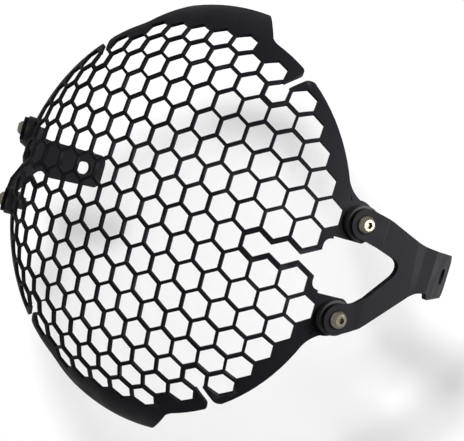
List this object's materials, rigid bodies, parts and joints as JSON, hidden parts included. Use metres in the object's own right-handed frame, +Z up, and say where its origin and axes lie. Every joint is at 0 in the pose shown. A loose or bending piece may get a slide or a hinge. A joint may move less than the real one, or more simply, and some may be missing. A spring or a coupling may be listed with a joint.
{
  "type": "motorcycle headlight guard",
  "caption": "Domed hexagon-mesh guard for a round motorcycle headlight, with relief slits and lugs bolted in rubber to two bent side brackets with slotted tabs.",
  "frame": {"origin": "middle of the part's bounding box", "axes": "-Y is the front, towards the crown of the mesh; +Z is up; +X runs along the longest extent to the right bracket, as seen from the front with +X to the right"},
  "size_m": [0.2942, 0.1507, 0.2548],
  "materials": {
    "guard_coat": "satin black powder coat",
    "bracket_coat": "satin black powder coat",
    "rubber": "matt moulded",
    "stainless": "polished stainless steel",
    "black_steel": "black oxide"
  },
  "bodies": {
    "root": {"mesh_guard": "guard_coat", "right_bracket": "bracket_coat", "left_bracket": "bracket_coat", "upper_right_bolt": "stainless", "lower_right_bolt": "stainless", "upper_left_bolt": "stainless", "lower_left_bolt": "stainless", "upper_right_spacer": "rubber", "lower_right_spacer": "rubber", "upper_left_spacer": "rubber", "lower_left_spacer": "rubber", "upper_right_inner_rubber": "rubber", "lower_right_inner_rubber": "rubber", "upper_left_inner_rubber": "rubber", "lower_left_inner_rubber": "rubber", "upper_right_washer": "black_steel", "lower_right_washer": "black_steel", "upper_left_washer": "black_steel", "lower_left_washer": "black_steel", "upper_right_nut": "black_steel", "lower_right_nut": "black_steel", "upper_left_nut": "black_steel", "lower_left_nut": "black_steel"}
  },
  "joints": []
}
